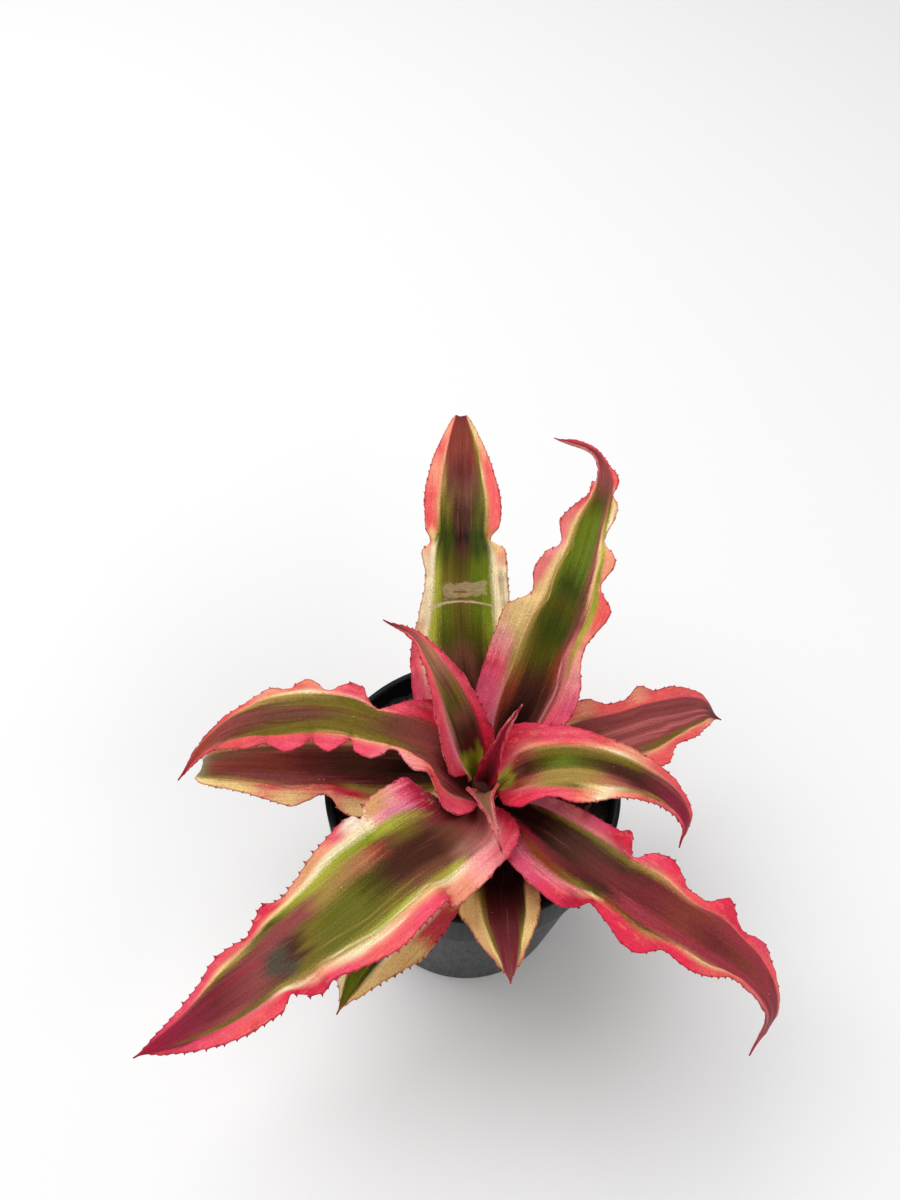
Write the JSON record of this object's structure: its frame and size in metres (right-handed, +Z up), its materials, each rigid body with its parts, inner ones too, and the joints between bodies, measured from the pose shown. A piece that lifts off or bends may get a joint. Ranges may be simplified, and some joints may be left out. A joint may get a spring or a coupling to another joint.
{
  "type": "potted rubin star cryptanthus",
  "caption": "Small earth star bromeliad with wavy, finely spined, striped leaves in a rosette, standing in soil in a black nursery pot.",
  "frame": {"origin": "middle of the pot's flat underside", "axes": "+Z up along the pot's axis; +Y towards the long back leaf; +X towards the right-hand leaves"},
  "size_m": [0.1371, 0.1587, 0.1035],
  "materials": {
    "pot": "thin black nursery plastic, smooth with a soft sheen",
    "soil": "dark moist potting mix of bark and peat crumbs",
    "stem": "short fibrous stem under the leaf bases",
    "leaf": "stiff waxy blade, maroon and olive green along the middle with cream and pink margins"
  },
  "bodies": {
    "root": {"pot": "pot", "soil": "soil", "stem": "stem", "leaf_front_low": "leaf", "leaf_front_left_low": "leaf", "leaf_left_low": "leaf", "leaf_right_low": "leaf", "leaf_back": "leaf", "leaf_front_right": "leaf", "leaf_back_right": "leaf", "leaf_front_left": "leaf", "leaf_left_high": "leaf", "leaf_right_high": "leaf", "leaf_upper_left": "leaf", "leaf_centre_front": "leaf", "leaf_centre_back": "leaf"}
  },
  "joints": []
}
